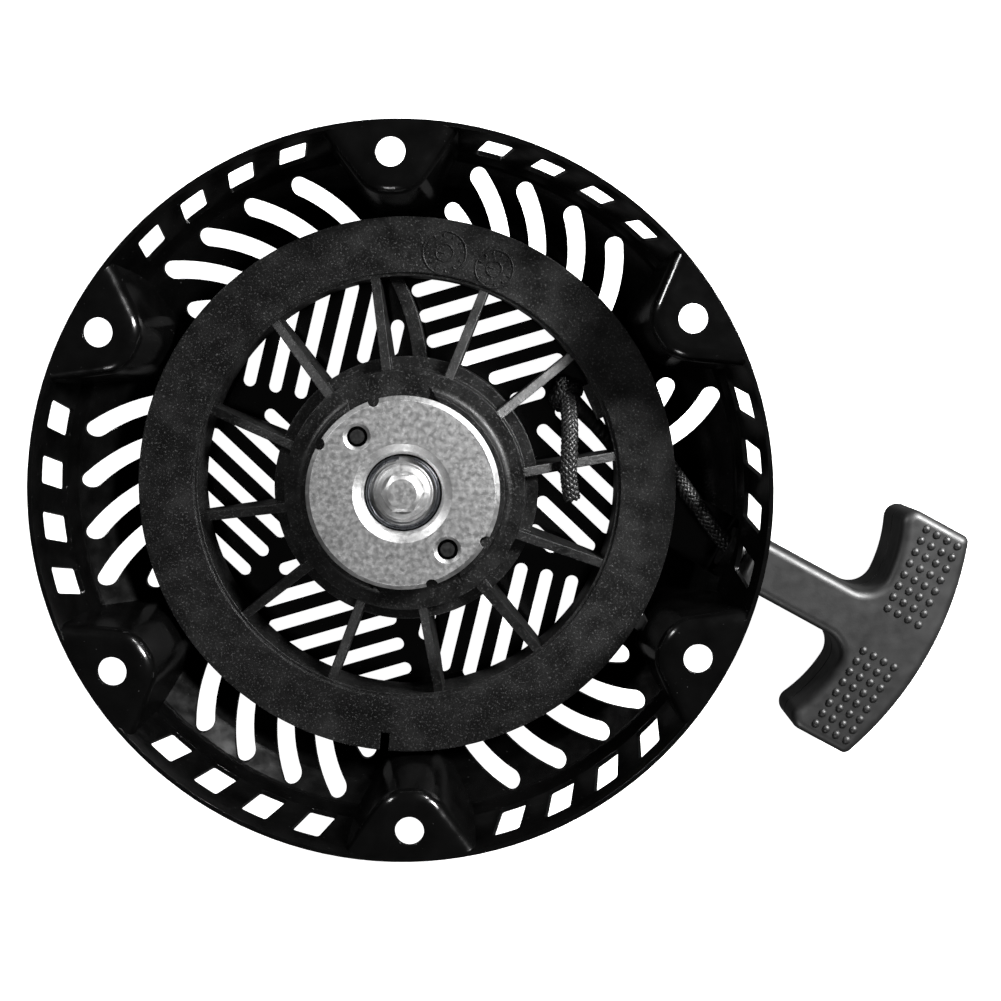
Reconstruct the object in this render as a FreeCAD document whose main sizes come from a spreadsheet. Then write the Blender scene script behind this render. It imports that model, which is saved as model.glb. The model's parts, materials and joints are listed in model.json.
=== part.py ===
# Recoil starter for a small engine: pressed steel housing, rope reel with its rewind
# spring, pawl clutch with guide plate, and a T-handle on a braided rope.
# Millimetres. Origin: centre of the mounting bolt circle, on the face that meets the
# engine. +Z points towards the engine, so the housing hangs below z = 0.
import FreeCAD, Part
import math
import os
import re
import Sketcher

V = FreeCAD.Vector
UP = V(0, 0, 1)
os.makedirs("parts", exist_ok=True)
doc = FreeCAD.newDocument("recoil_starter")

# ---------------------------------------------------------------- driving sizes
SIZES = {
    # pressed housing
    "rim_radius": 115.0,
    "bolt_circle_radius": "=rim_radius - 9.5",
    "bolt_hole_radius": 4.6,
    "sheet": 1.5,
    "inside_depth": 51.0,
    "floor_radius": "=rim_radius - 28",
    "shoulder_depth": 27.5,
    "shoulder_inset": 7.0,
    "window_top": 6.5,
    "window_bottom": 22.0,
    "window_width": 9.0,
    "window_skew": 3.9,
    "tab_nose_reach": 12.5,
    "tab_nose_half": 6.9,
    "tab_nose_fillet": 12.0,
    "tab_flank_angle": 36.0,
    "tab_draft": 4.0,
    "bend_radius": 4.4,
    "cone_bend": 5.0,
    "slot_width": 4.5,
    "slot_pitch": 9.05,
    "slot_first": 17.0,
    "slot_inner_radius": 46.0,
    "slot_outer_radius": 73.0,
    "slot_stagger": 20.9,
    "slot_reach": 60.0,
    "louvre_width": 5.7,
    # rope and its way out
    "rope_radius": 2.5,
    "rope_level": 36.0,
    "pull_angle": 30.0,
    "pull_offset": 33.2,
    "exit_reach": "=rim_radius - 8.5",
    "guide_bore": "=rope_radius + 0.8",
    "guide_neck": "=rope_radius + 2.5",
    "guide_flange": "=rope_radius + 5.1",
    "exit_half_width": "=guide_flange + 2.4 + sheet",
    # reel
    "spoke_angle": 7.1,
    "spoke_count": 12,
    "spoke_thickness": 3.0,
    "flange_radius": 88.8,
    "lower_flange_radius": 84.0,
    "drum_radius": 72.0,
    "drum_wall": 2.5,
    "reel_top": 30.0,
    "flange_thickness": 2.5,
    "column_pitch": "=2 * rope_radius + 0.2",
    "hub_top": 20.0,
    "hub_radius": 39.0,
    "hub_ledge": 27.0,
    "spring_case_radius": 43.3,
    "spring_case_wall": 2.3,
    "spring_roof": 29.0,
    "reel_bottom": "=inside_depth - 3",
    "boss_radius": 32.5,
    "boss_top": 13.0,
    "pocket_floor": 22.0,
    "rope_clearance": 0.3,
    # centre post and its bolt
    "post_radius": 10.0,
    "running_clearance": 0.05,
    "post_top": 15.0,
    "post_flange_radius": "=post_radius + 6",
    "post_flange_thickness": 2.0,
    "spigot_radius": "=post_radius - 2",
    "washer_radius": "=post_radius + 1.6",
    "washer_thickness": 1.2,
    "bolt_radius": 4.0,
    "bolt_depth": 20.0,
    "bolt_flange_radius": "=post_radius - 0.2",
    "bolt_flange_thickness": 1.6,
    "bolt_head_radius": 5.7,
    "bolt_head_height": 4.4,
    # clutch
    "plate_angle": 120.0,
    "plate_radius": 30.9,
    "plate_top": 9.6,
    "plate_sheet": 1.5,
    "plate_well_radius": "=washer_radius + 0.8",
    "plate_hole_radius": 3.25,
    "plate_hole_reach": 22.9,
    "pawl_pivot_reach": 16.4,
    "pawl_pin_radius": 2.0,
    "pawl_pin_clearance": 0.08,
    "pawl_bottom": 19.5,
    "pawl_thickness": 4.9,
    "peg_radius": 2.25,
    # rewind spring
    "spring_strip": 0.9,
    "spring_width": 15.0,
    "spring_turns": 8,
    # T-handle
    "handle_reach": "=exit_reach + 62.9",
    "handle_half_length": 41.0,
    "handle_arc": 116.0,
    "handle_end_depth": 25.6,
    "handle_waist_depth": 17.6,
    "handle_waist_arc": 47.7,
    "handle_stem_length": 59.6,
    "handle_stem_half": 8.6,
    "handle_half_thickness": 13.0,
    "handle_edge_fillet": 3.0,
    "knot_radius": "=2 * rope_radius + 0.2",
}
sheet = doc.addObject("Spreadsheet::Sheet", "sizes")
for row, (alias, number) in enumerate(SIZES.items(), 1):
    sheet.set(f"A{row}", alias)
    sheet.set(f"B{row}", str(number))
    sheet.setAlias(f"B{row}", alias)
doc.recompute()
ALIASES = re.compile(r"\b(" + "|".join(SIZES) + r")\b")


def linked(text):
    """An expression of the sizes, as FreeCAD wants it."""
    return ALIASES.sub(r"sizes.\1", str(text))


def size(text):
    """The number that an expression of the sizes gives now."""
    value = sheet.evalExpression(linked(text))
    return float(getattr(value, "Value", value))


def bind(thing, prop, text):
    thing.setExpression(prop, linked(text))


# ---------------------------------------------------------------- sketch and body helpers
def new_body(label):
    body = doc.addObject("PartDesign::Body", label)
    body.Label = label
    body.AllowCompound = True
    return body


def origin(body, role):
    return next(item for item in body.Origin.OriginFeatures if item.Role == role)


def new_sketch(body, name, plane, offset="0", turn="0"):
    sketch = body.newObject("Sketcher::SketchObject", name)
    sketch.AttachmentSupport = [(origin(body, plane), "")]
    sketch.MapMode = "FlatFace"
    sketch.AttachmentOffset = FreeCAD.Placement(V(), FreeCAD.Rotation(UP, 0))
    bind(sketch, "AttachmentOffset.Base.z", offset)
    bind(sketch, "AttachmentOffset.Rotation.Angle", turn)
    return sketch


def fix(sketch, kind, geometry, end, text):
    """Hold one coordinate or radius of a sketch to an expression."""
    number = size(text)
    if kind == "Radius":
        rule = Sketcher.Constraint("Radius", geometry, number)
    else:
        rule = Sketcher.Constraint(kind, -1, 1, geometry, end, number)
    index = sketch.addConstraint(rule)
    sketch.setExpression(f"Constraints[{index}]", linked(text))


def outline(sketch, points):
    """A closed outline through (x, y) or (x, y, r): r is the radius of the arc that runs
    on to the next point, positive when its centre lies to the left."""
    count = len(points)
    places = [V(size(point[0]), size(point[1]), 0) for point in points]
    ends = []
    for i, point in enumerate(points):
        start, stop = places[i], places[(i + 1) % count]
        if len(point) == 2:
            edge = sketch.addGeometry(Part.LineSegment(start, stop))
            ends.append((edge, 1, 2))
            continue
        radius = size(point[2])
        chord = stop - start
        left = V(-chord.y, chord.x, 0).normalize()
        rise = math.sqrt(radius**2 - (chord.Length / 2) ** 2)
        centre = (start + stop) * 0.5 + left * math.copysign(rise, radius)
        first, last = (start, stop) if radius > 0 else (stop, start)
        angles = [math.atan2(end.y - centre.y, end.x - centre.x) for end in (first, last)]
        circle = Part.Circle(centre, UP, abs(radius))
        edge = sketch.addGeometry(Part.ArcOfCircle(circle, angles[0], angles[1]))
        ends.append((edge, 1, 2) if radius > 0 else (edge, 2, 1))
    for i in range(count):
        here, following = ends[i], ends[(i + 1) % count]
        sketch.addConstraint(
            Sketcher.Constraint("Coincident", here[0], here[2], following[0], following[1])
        )
    for i, point in enumerate(points):
        fix(sketch, "DistanceX", ends[i][0], ends[i][1], point[0])
        fix(sketch, "DistanceY", ends[i][0], ends[i][1], point[1])
        if len(point) == 3:
            fix(sketch, "Radius", ends[i][0], 0, f"abs({point[2]})")


def circle(sketch, x, y, radius):
    edge = sketch.addGeometry(Part.Circle(V(size(x), size(y), 0), UP, size(radius)))
    fix(sketch, "DistanceX", edge, 3, x)
    fix(sketch, "DistanceY", edge, 3, y)
    fix(sketch, "Radius", edge, 0, radius)


def turned(body, name, points, kind="Revolution", angle="360"):
    """Revolve a profile of (radius, height) points about the body's Z axis."""
    sketch = new_sketch(body, name + "_profile", "XZ_Plane")
    outline(sketch, points)
    feature = body.newObject("PartDesign::" + kind, name)
    feature.Profile = sketch
    feature.ReferenceAxis = (origin(body, "Z_Axis"), [""])
    bind(feature, "Angle", angle)
    doc.recompute()
    return feature


def raised(body, name, sketch, height, reverse=False, taper="0"):
    feature = body.newObject("PartDesign::Pad", name)
    feature.Profile = sketch
    feature.Reversed = reverse
    bind(feature, "Length", height)
    bind(feature, "TaperAngle", taper)
    doc.recompute()
    return feature


def sunk(body, name, sketch, depth):
    """Pocket downwards from a sketch, and make sure that it removed something."""
    before = body.Shape.Volume
    feature = body.newObject("PartDesign::Pocket", name)
    feature.Profile = sketch
    bind(feature, "Length", depth)
    doc.recompute()
    if body.Shape.Volume > before - 1e-3:
        feature.Reversed = True
        doc.recompute()
    if body.Shape.Volume > before - 1e-3:
        raise ValueError(name + " cuts nothing")
    return feature


def repeated(body, feature, count):
    pattern = body.newObject("PartDesign::PolarPattern", feature.Name + "_ring")
    pattern.Originals = [feature]
    pattern.Axis = (origin(body, "Z_Axis"), [""])
    pattern.Angle = 360
    bind(pattern, "Occurrences", count)
    body.Tip = pattern
    doc.recompute()
    return pattern


def rounded(body, name, radius, wanted):
    """Fillet every edge of the body that wanted(edge) picks."""
    base = body.Tip
    names = [f"Edge{i}" for i, edge in enumerate(base.Shape.Edges, 1) if wanted(edge)]
    if not names:
        raise ValueError(name + " finds no edge")
    feature = body.newObject("PartDesign::Fillet", name)
    feature.Base = (base, names)
    bind(feature, "Radius", radius)
    doc.recompute()
    return feature


def at_level(edge, level):
    box = edge.BoundBox
    return abs(box.ZMin - level) < 1e-3 and abs(box.ZMax - level) < 1e-3


def ring_at(edge, radius, level):
    arc = edge.Curve
    return isinstance(arc, Part.Circle) and abs(arc.Radius - radius) < 0.02 and at_level(edge, level)


def solid_from(label, shape):
    """A piece whose shape comes straight from Part's own functions."""
    feature = doc.addObject("Part::Feature", label)
    feature.Label = label
    feature.Shape = shape
    return feature


def combined(kind, label, first, second):
    feature = doc.addObject("Part::" + kind, label)
    feature.Label = label
    feature.Base = first
    feature.Tool = second
    doc.recompute()
    return feature


def around(shape, angles):
    """Copies of a shape turned about the Z axis."""
    copies = []
    for angle in angles:
        copy = shape.copy()
        copy.rotate(V(), UP, angle)
        copies.append(copy)
    return Part.makeCompound(copies)


def polar(radius, angle, level=0.0):
    turn = math.radians(angle)
    return V(radius * math.cos(turn), radius * math.sin(turn), level)


# ---------------------------------------------------------------- housing
SECTORS = [60 * k for k in range(6)]
TAB_ANGLES = [30 + 60 * k for k in range(6)]
EXIT_SECTOR = 0
WINDOW_ANGLES = (-13.5, -4.5, 4.5, 13.5)
LOUVRE_ANGLES = (-12.0, -2.7, 6.8, 15.5)
SLOTS_PER_SECTOR = 6
shoulder = "(rim_radius - shoulder_inset)"


def bowl_profile(label, skin):
    """The bowl's surface, moved outwards by skin: inside face at 0, outside face at sheet."""
    body = new_body(label)
    points = [
        ("0", f"-inside_depth - {skin}"),
        (f"floor_radius + 0.45 * {skin}", f"-inside_depth - {skin}"),
        (f"{shoulder} + 0.95 * {skin}", f"-shoulder_depth - 0.45 * {skin}"),
        (f"rim_radius - 5 + {skin}", f"-window_bottom - 0.1 * {skin}"),
        (f"rim_radius - 2.2 + {skin}", "-window_top"),
        (f"rim_radius - 1 + 0.9 * {skin}", "0"),
        ("0", "0"),
    ]
    turned(body, label + "_form", points)
    corners = [
        (size(points[1][0]), size(points[1][1])),
        (size(points[2][0]), size(points[2][1])),
    ]
    rounded(
        body,
        label + "_bends",
        f"cone_bend + {skin}",
        lambda edge: any(ring_at(edge, radius, level) for radius, level in corners),
    )
    return body


def tab_profile(label, skin, bend):
    """The drafted block that a mounting tab and its U-shaped wall wrap around."""
    body = new_body(label)
    sketch = new_sketch(body, label + "_plan", "XY_Plane", f"-{skin}")
    nose = f"bolt_circle_radius - tab_nose_reach + {skin}"
    mouth = "rim_radius + 12"
    nose_half = f"tab_nose_half - 0.51 * {skin}"
    spread = f"({mouth} - ({nose})) * tan(tab_flank_angle * 1 deg)"
    outline(
        sketch,
        [
            (nose, f"-({nose_half})"),
            (mouth, f"-({nose_half}) - {spread}"),
            (mouth, f"{nose_half} + {spread}"),
            (nose, nose_half),
        ],
    )
    raised(body, label + "_block", sketch, f"inside_depth + 4 - {skin}", True, "tab_draft")
    top = -size(skin)

    def nose_edge(edge):
        box = edge.BoundBox
        return box.ZLength > 20 and box.XMin < size(nose) + 0.1 and box.XMax < size(mouth) - 5

    rounded(body, label + "_nose", "tab_nose_fillet - 0.4 * " + skin, nose_edge)
    rounded(
        body,
        label + "_bend",
        bend,
        lambda edge: at_level(edge, top) and edge.BoundBox.XMin < size(mouth) - 1,
    )
    return body


def exit_profile(label, skin):
    """The pressed boss whose flat outer face carries the rope guide."""
    body = new_body(label)
    sketch = new_sketch(body, label + "_plan", "XY_Plane", "-window_bottom - 2", "-pull_angle")
    reach = f"exit_reach - sheet + {skin}"
    half = f"(exit_half_width - sheet + {skin})"
    outline(
        sketch,
        [
            ("floor_radius - 8", f"pull_offset - {half}"),
            (reach, f"pull_offset - {half}"),
            (reach, f"pull_offset + {half}"),
            ("floor_radius - 8", f"pull_offset + {half}"),
        ],
    )
    raised(body, label + "_block", sketch, f"inside_depth - window_bottom - 5 + {skin}", True)
    rounded(body, label + "_bend", f"2 + {skin}", lambda edge: far_out(edge, size(reach)))
    return body


def far_out(edge, reach):
    """Picks the edges of the exit boss's outer face."""
    pull = polar(1.0, -size("pull_angle"))
    return all(abs(vertex.Point.dot(pull) - reach) < 1e-3 for vertex in edge.Vertexes)


def window_form():
    """One slanted window through the side wall, pointing along +X."""
    body = new_body("window_form")
    sketch = new_sketch(body, "window_plan", "YZ_Plane", f"{shoulder} - 6")
    outline(
        sketch,
        [
            ("(window_skew - window_width) / 2", "-window_bottom"),
            ("(window_skew + window_width) / 2", "-window_bottom"),
            ("(window_width - window_skew) / 2", "-window_top"),
            ("-(window_width + window_skew) / 2", "-window_top"),
        ],
    )
    raised(body, "window_block", sketch, "shoulder_inset + 15")
    rounded(body, "window_corners", "1.2", lambda edge: edge.BoundBox.XLength > 10)
    return body


def band(points, width, low, high):
    """A round-ended slot of one width along a line or a three-point arc."""
    if len(points) == 2:
        path = Part.LineSegment(points[0], points[1]).toShape()
    else:
        path = Part.Arc(points[0], points[1], points[2]).toShape()
    along_start = path.tangentAt(path.FirstParameter)
    along_stop = path.tangentAt(path.LastParameter)
    start, stop = points[0], points[-1]
    half = width / 2
    sides = []
    for hand in (1, -1):
        side_points = []
        for point in points:
            along = path.tangentAt(path.Curve.parameter(point))
            side_points.append(point + V(-along.y, along.x, 0) * half * hand)
        sides.append(side_points)
    first, second = sides
    second.reverse()
    if len(points) == 2:
        one = Part.LineSegment(first[0], first[1])
        two = Part.LineSegment(second[0], second[1])
    else:
        one = Part.Arc(first[0], first[1], first[2])
        two = Part.Arc(second[0], second[1], second[2])
    far_cap = Part.Arc(first[-1], stop + along_stop * half, second[0])
    near_cap = Part.Arc(second[-1], start - along_start * half, first[0])
    wire = Part.Wire([curve.toShape() for curve in (one, far_cap, two, near_cap)])
    face = Part.Face(wire)
    face.translate(V(0, 0, low))
    return face.extrude(V(0, 0, high - low))


def floor_slots():
    """One sector's slots in the floor: parallel, across the sector, ends on two circles."""
    inner, outer = size("slot_inner_radius"), size("slot_outer_radius")
    width = size("slot_width")
    along = polar(1.0, -45)
    across = polar(1.0, 45)
    web_angle = 18.5
    cutters = []
    for i in range(SLOTS_PER_SECTOR):
        offset = size("slot_first") + i * size("slot_pitch")
        start = max(size("slot_stagger"), math.sqrt(max(inner**2 - offset**2, 0.0)))
        stop = min(
            math.sqrt(max(outer**2 - offset**2, 0.0)),
            size("slot_reach"),
            offset / math.tan(math.radians(web_angle)),
        )
        if stop - start > width:
            ends = [across * offset + along * reach for reach in (start, stop)]
            cutters.append(band(ends, width, -size("inside_depth") - 4, -size("inside_depth") + 1))
    return Part.makeCompound(cutters)


def louvre(angle, outer_radius, sweep):
    """One curved slot across the cone and the edge of the floor."""
    inner_radius = size("floor_radius") - 4.5
    middle_radius = 0.45 * inner_radius + 0.55 * outer_radius
    points = [
        polar(outer_radius, angle),
        polar(middle_radius, angle - 0.56 * sweep),
        polar(inner_radius, angle - sweep),
    ]
    return band(points, size("louvre_width"), -size("inside_depth") - 4, -size("shoulder_depth") + 3)


def build_housing():
    inside = bowl_profile("bowl_inside", "0")
    outside = bowl_profile("bowl_outside", "sheet")
    boss_inside = exit_profile("exit_inside", "0")
    boss_outside = exit_profile("exit_outside", "sheet")
    outer_form = combined("Fuse", "outer_form", outside, boss_outside)
    inner_form = combined("Fuse", "inner_form", inside, boss_inside)
    tab_block = tab_profile("tab_block", "0", "bend_radius")
    tab_recess = tab_profile("tab_recess", "sheet", "bend_radius - sheet")
    tabs = solid_from("tab_blocks", around(tab_block.Shape, TAB_ANGLES))
    recesses = solid_from("tab_recesses", around(tab_recess.Shape, TAB_ANGLES))
    envelope = combined("Cut", "envelope", outer_form, recesses)
    cavity = combined("Cut", "cavity", inner_form, tabs)
    pressing = combined("Cut", "pressing", envelope, cavity)

    windows = around(
        window_form().Shape, [sector + angle for sector in SECTORS for angle in WINDOW_ANGLES]
    )
    long_reach = size(f"{shoulder} - 3.4")
    short_reach = size("floor_radius + 6")
    cutters = [windows, around(floor_slots(), SECTORS)]
    for sector in SECTORS:
        cutters.append(louvre(sector + 19.5, short_reach, 5.5))
        for angle in LOUVRE_ANGLES:
            if sector != EXIT_SECTOR or angle == LOUVRE_ANGLES[-1]:
                cutters.append(louvre(sector + angle, long_reach, 9.2))
    bolt_hole = Part.makeCylinder(size("bolt_hole_radius"), 12, polar(size("bolt_circle_radius"), 0, -8))
    cutters.append(around(bolt_hole, TAB_ANGLES))
    drain = [polar(size("floor_radius") + 3, 326.5), polar(size("floor_radius") + 3, 329)]
    cutters.append(band(drain, 3, -size("inside_depth") - 4, -size("shoulder_depth")))
    spigot_hole = Part.makeCylinder(size("spigot_radius"), 6, V(0, 0, -size("inside_depth") - 4))
    cutters.append(spigot_hole)
    pull = polar(1.0, -size("pull_angle"))
    side = V(-pull.y, pull.x, 0)
    mouth = pull * (size("exit_reach") - 8) + side * size("pull_offset") + V(0, 0, -size("rope_level"))
    cutters.append(Part.makeCylinder(size("guide_neck"), 16, mouth, pull))
    openings = solid_from("openings", Part.makeCompound(cutters))
    return combined("Cut", "housing", pressing, openings)


# ---------------------------------------------------------------- rope
PULL = polar(1.0, -size("pull_angle"))
SIDE = V(-PULL.y, PULL.x, 0)
COLUMN_ONE = -size("rope_level")
COLUMN_TWO = COLUMN_ONE - size("column_pitch")
WOUND_RADIUS = size("drum_radius + rope_radius")
BEND_REACH = size("exit_reach") - 1.5
CROSSOVER = 22.0
CROSSOVER_LEAD = 12.0
KNOT_ANGLE = 28.9


def along_pull(reach, level=COLUMN_ONE):
    """A point on the pull line, reach from the reel's axis."""
    return PULL * reach + SIDE * size("pull_offset") + V(0, 0, level)


def leaving_angle():
    """Where the straight rope run to the guide touches the wound rope."""
    target = along_pull(BEND_REACH)
    distance = math.hypot(target.x, target.y)
    return math.degrees(math.atan2(target.y, target.x) + math.acos(WOUND_RADIUS / distance))


def soft_route(points):
    """Straight runs between the points, joined by tangent arcs."""
    edges = []
    start = points[0]
    for before, corner, after in zip(points, points[1:], points[2:]):
        into = (corner - before).normalize()
        out = (after - corner).normalize()
        half_turn = into.getAngle(out) / 2
        trim = 0.45 * min((corner - before).Length, (after - corner).Length)
        first = corner - into * trim
        last = corner + out * trim
        radius = trim / math.tan(half_turn)
        print(f"rope bend radius {radius:.1f} mm")
        centre = corner + (out - into).normalize() * (radius / math.cos(half_turn))
        middle = centre + (corner - centre).normalize() * radius
        edges.append(Part.LineSegment(start, first).toShape())
        edges.append(Part.Arc(first, middle, last).toShape())
        start = last
    edges.append(Part.LineSegment(start, points[-1]).toShape())
    return edges


def arc_round(angle_from, angle_to, level):
    """Rope centre line round the drum, anticlockwise."""
    ends = [polar(WOUND_RADIUS, angle, level) for angle in (angle_from, angle_to)]
    middle = polar(WOUND_RADIUS, (angle_from + angle_to) / 2, level)
    return Part.Arc(ends[0], middle, ends[1]).toShape()


def rope_along(edges, radius):
    path = Part.Wire(edges)
    start = path.Edges[0]
    tangent = start.tangentAt(start.FirstParameter)
    section = Part.Wire(Part.Circle(start.valueAt(start.FirstParameter), tangent, radius).toShape())
    rope = path.makePipeShell([section], True, False)
    expected = math.pi * radius**2 * path.Length
    if abs(rope.Volume - expected) > 0.02 * expected:
        raise ValueError(f"rope volume {rope.Volume:.0f}, expected {expected:.0f}")
    return rope


def anchor_route(first_turn_end):
    """From the second column, in through the drum wall, to the knot."""
    drum = size("drum_radius")
    return [
        polar(WOUND_RADIUS, first_turn_end, COLUMN_TWO),
        polar(WOUND_RADIUS / math.cos(math.radians(5)), first_turn_end + 5, COLUMN_TWO),
        polar(drum - 1.3, first_turn_end + 14, COLUMN_TWO + 0.6),
        polar(drum - 10.0, KNOT_ANGLE - 2, COLUMN_TWO + 3.0),
    ]


LEAVE = leaving_angle()
ANCHOR_START = KNOT_ANGLE - 34.0


def build_rope():
    rope = size("rope_radius")
    # wound on the drum, from where it leaves back to the anchor hole
    turn_end = LEAVE + 360 - CROSSOVER_LEAD - CROSSOVER
    step = CROSSOVER / 4
    lift = WOUND_RADIUS / math.cos(math.radians(step))
    crossing = [
        polar(WOUND_RADIUS, turn_end, COLUMN_ONE),
        polar(lift, turn_end + step, COLUMN_ONE),
        polar(lift, turn_end + 3 * step, COLUMN_TWO),
        polar(WOUND_RADIUS, turn_end + CROSSOVER, COLUMN_TWO),
    ]
    half_way = (LEAVE + turn_end) / 2
    last_end = ANCHOR_START + 720
    second_half = (turn_end + CROSSOVER + last_end) / 2
    edges = [arc_round(LEAVE, half_way, COLUMN_ONE), arc_round(half_way, turn_end, COLUMN_ONE)]
    edges += soft_route(crossing)
    edges.append(arc_round(turn_end + CROSSOVER, second_half, COLUMN_TWO))
    edges.append(arc_round(second_half, last_end, COLUMN_TWO))
    edges += soft_route(anchor_route(last_end))
    solid_from("rope_wound", rope_along(edges, rope))

    # straight run from the drum, through the guide, to the handle
    start = polar(WOUND_RADIUS, LEAVE, COLUMN_ONE)
    bend = along_pull(BEND_REACH)
    start = start + (bend - start).normalize() * size("rope_clearance")
    stem_end = size("handle_reach - handle_stem_length")
    run = [start, bend, along_pull(stem_end)]
    solid_from("rope_run", rope_along(soft_route(run), rope))

    # knot and loose tail inside the reel
    knot_centre = polar(size("drum_radius") - 10.8, KNOT_ANGLE, COLUMN_TWO + 4.4)
    knot = Part.makeSphere(size("knot_radius"), knot_centre)
    tail = [
        knot_centre + V(0.2, -1.0, 2.0),
        knot_centre + V(0.6, -8.0, 11.0),
        knot_centre + V(0.0, -18.0, 15.2),
        knot_centre + V(-0.8, -27.0, 15.0),
        knot_centre + V(0.6, -34.0, 13.5),
    ]
    knot = knot.fuse(rope_along(soft_route(tail), rope)).removeSplitter()
    approach = anchor_route(last_end)
    knot = knot.cut(rope_along(soft_route(approach), rope))
    solid_from("rope_knot", knot)


# ---------------------------------------------------------------- rope guide
def build_rope_guide():
    """Flanged eyelet in the exit boss, turned about its own Z axis, then laid on the pull line."""
    body = new_body("rope_guide")
    outer_face = "(sheet + running_clearance)"
    turned(
        body,
        "eyelet",
        [
            ("guide_bore + 1.6", "-2.2", "-1.6"),
            ("guide_bore", "-0.6"),
            ("guide_bore", f"{outer_face}", "-1.5"),
            ("guide_bore + 1.5", f"{outer_face} + 1.5"),
            ("guide_flange", f"{outer_face} + 1.5"),
            ("guide_flange", outer_face),
            ("guide_neck", outer_face),
            ("guide_neck", "-running_clearance"),
            ("guide_flange - 0.6", "-running_clearance"),
            ("guide_flange - 0.6", "-2.2"),
        ],
    )
    lay = FreeCAD.Rotation(UP, PULL)
    body.Placement = FreeCAD.Placement(along_pull(size("exit_reach - sheet")), lay)
    return body


# ---------------------------------------------------------------- reel
def build_reel():
    body = new_body("reel")
    inner = "(drum_radius - drum_wall)"
    groove_floor = "(rope_level + column_pitch + rope_radius + 1)"
    turned(
        body,
        "rope_channel",
        [
            (inner, "-reel_top - 0.8"),
            (f"{inner} + 1.2", "-reel_top - 0.8"),
            (f"{inner} + 1.2", "-reel_top"),
            ("flange_radius", "-reel_top"),
            ("flange_radius", "-reel_top - flange_thickness"),
            ("drum_radius", "-reel_top - flange_thickness"),
            ("drum_radius", f"-{groove_floor}"),
            ("lower_flange_radius", f"-{groove_floor}"),
            ("lower_flange_radius", f"-{groove_floor} - flange_thickness"),
            (inner, f"-{groove_floor} - flange_thickness"),
        ],
    )
    case_inner = "spring_case_radius - spring_case_wall"
    turned(
        body,
        "hub",
        [
            ("post_radius + running_clearance", "-spring_roof - 1"),
            ("post_radius + 5", "-spring_roof - 1"),
            ("post_radius + 5", "-pocket_floor - 3"),
            ("hub_radius - 3", "-pocket_floor - 3"),
            ("hub_radius - 3", "-spring_roof - 1"),
            (case_inner, "-spring_roof - 1"),
            (case_inner, "-reel_bottom"),
            ("spring_case_radius", "-reel_bottom"),
            ("spring_case_radius", "-hub_ledge"),
            ("hub_radius + 0.4", "-hub_ledge"),
            ("hub_radius", "-hub_top"),
            ("boss_radius", "-hub_top"),
            ("boss_radius", "-boss_top"),
            ("washer_radius + 1", "-boss_top"),
            ("washer_radius + 1", "-post_top - rope_clearance"),
            ("post_radius + running_clearance", "-post_top - rope_clearance"),
        ],
    )
    spoke = new_sketch(body, "spoke_profile", "XZ_Plane", "-spoke_thickness / 2")
    outline(
        spoke,
        [
            ("hub_radius - 1", "-hub_top"),
            (f"{inner} + 0.6", "-reel_top - 1.2"),
            (f"{inner} + 0.6", f"-{groove_floor}"),
            ("spring_case_radius - 0.5", f"-{groove_floor}"),
            ("spring_case_radius - 0.5", "-hub_ledge - 1"),
            ("hub_radius - 1", "-hub_ledge - 1"),
        ],
    )
    repeated(body, raised(body, "spoke", spoke, "spoke_thickness"), "spoke_count")
    rounded(
        body,
        "boss_root",
        "2.5",
        lambda edge: ring_at(edge, size("boss_radius"), -size("hub_top")),
    )

    # pawl pockets, open through the side of the boss, and the pins the pawls turn on
    pocket = new_sketch(body, "pawl_pocket_plan", "XY_Plane", "-boss_top", "plate_angle")
    outline(
        pocket,
        [
            ("washer_radius - 0.4", "8.6"),
            ("27.5", "8.6"),
            ("30.6", "-1.6"),
            ("hub_radius + 1", "-7"),
            ("hub_radius + 1", "-27"),
            ("13", "-27"),
            ("washer_radius - 0.4", "-7"),
        ],
    )
    open_pockets = sunk(body, "pawl_pocket", pocket, "hub_top - boss_top")
    repeated(body, open_pockets, "2")
    deep = new_sketch(body, "pawl_well_plan", "XY_Plane", "-hub_top", "plate_angle")
    circle(deep, "pawl_pivot_reach", "0", "3.7")
    repeated(body, sunk(body, "pawl_well", deep, "pocket_floor - hub_top"), "2")
    pin = new_sketch(body, "pawl_pin_plan", "XY_Plane", "-pocket_floor", "plate_angle")
    circle(pin, "pawl_pivot_reach", "0", "pawl_pin_radius")
    repeated(body, raised(body, "pawl_pin", pin, "pocket_floor - post_top"), "2")

    # notch in the outer flange, where the rope is held while the spring is wound
    notch = new_sketch(body, "notch_plan", "XY_Plane", "-reel_top", "256.3")
    outline(
        notch,
        [
            ("flange_radius - 6", "-1.5"),
            ("flange_radius + 1", "-1.5"),
            ("flange_radius + 1", "1.5"),
            ("flange_radius - 6", "1.5"),
        ],
    )
    sunk(body, "notch", notch, "flange_thickness")
    rib = new_sketch(body, "rib_plan", "XY_Plane", "-reel_top - 3", "16.1")
    outline(
        rib,
        [
            (f"{inner} - 3.0", "-6"),
            (f"{inner} + 0.5", "-6"),
            (f"{inner} + 0.5", "6"),
            (f"{inner} - 3.0", "6"),
        ],
    )
    raised(body, "anchor_rib", rib, "4", True)
    low_rib = new_sketch(body, "low_rib_plan", "XY_Plane", "-rope_level", "80")
    outline(
        low_rib,
        [
            ("spring_case_radius - 1", "-5.2", "68"),
            (f"{inner} + 0.4", "4.0"),
            (f"{inner} + 0.4", "8.6", "-68"),
            ("spring_case_radius - 1", "-0.6"),
        ],
    )
    raised(body, "low_rib", low_rib, f"{groove_floor} - rope_level", True)
    bind(body, "Placement.Rotation.Angle", "spoke_angle")
    doc.recompute()

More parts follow.
